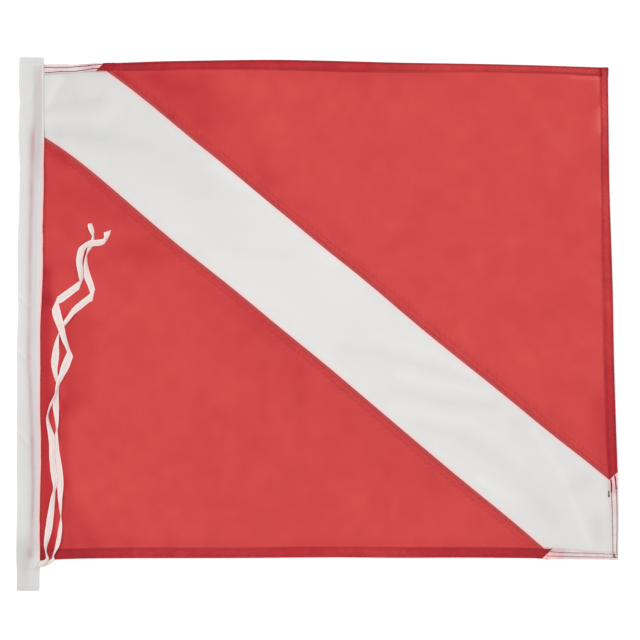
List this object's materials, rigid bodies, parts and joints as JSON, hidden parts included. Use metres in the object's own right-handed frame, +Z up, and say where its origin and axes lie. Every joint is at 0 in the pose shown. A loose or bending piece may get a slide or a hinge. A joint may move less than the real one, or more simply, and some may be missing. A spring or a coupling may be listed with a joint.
{
  "type": "dive flag",
  "caption": "Diver-down signal flag: red nylon field with a white diagonal stripe, a white pole sleeve on the hoist and a tie ribbon at its foot; cloth folds along its sewn seams.",
  "frame": {"origin": "bottom centre of the flag's box: the middle of the flag, on the surface that it lies on", "axes": "+X from the hoist to the fly, +Y from the bottom edge to the top edge, +Z up from the flag's face"},
  "size_m": [0.6179, 0.5464, 0.007],
  "materials": {
    "red_nylon": "plain-woven flag nylon, slight sheen",
    "white_nylon": "plain-woven flag nylon, slight sheen",
    "sleeve_nylon": "white cloth folded double, slightly see-through",
    "ribbon": "thin woven ribbon, cut ends",
    "thread_red": "twisted polyester sewing thread",
    "thread_white": "twisted polyester sewing thread"
  },
  "bodies": {
    "sleeve": {"hoist_sleeve": "sleeve_nylon", "sleeve_seam_thread": "thread_white", "sleeve_top_hem_thread": "thread_white", "sleeve_bottom_hem_thread": "thread_white", "tie_tack_thread": "thread_white"},
    "cloth": {"white_stripe_panel": "white_nylon", "lower_red_panel": "red_nylon", "tie_ribbon_fold": "ribbon", "lower_seam_thread_outer": "thread_red", "lower_seam_thread_inner": "thread_red", "top_hem_thread_outer_white": "thread_red", "top_hem_thread_inner_white": "thread_red", "fly_hem_thread_outer_white": "thread_red", "fly_hem_thread_inner_white": "thread_red", "bottom_hem_thread_outer": "thread_red", "bottom_hem_thread_inner": "thread_red"},
    "upper_cloth": {"upper_red_panel": "red_nylon", "upper_seam_thread_outer": "thread_red", "upper_seam_thread_inner": "thread_red", "top_hem_thread_outer_red": "thread_red", "top_hem_thread_inner_red": "thread_red", "fly_hem_thread_outer_red": "thread_red", "fly_hem_thread_inner_red": "thread_red"},
    "tie": {"tie_ribbon_tail_a": "ribbon", "tie_ribbon_tail_b": "ribbon"}
  },
  "joints": [
    {"name": "hoist_fold", "type": "hinge", "parent": "sleeve", "child": "cloth", "pos_m": [-0.28365, 0, 0.0012], "axis": [0, -1, 0], "range_deg": [0, 135]},
    {"name": "upper_seam_fold", "type": "hinge", "parent": "cloth", "child": "upper_cloth", "pos_m": [-0.2208, 0.2614, 0.0012], "axis": [0.7809, -0.6247, 0], "range_deg": [0, 150]},
    {"name": "tie_swing", "type": "hinge", "parent": "cloth", "child": "tie", "pos_m": [-0.271, -0.2432, 0.002], "axis": [1, 0, 0], "range_deg": [0, 178]}
  ]
}
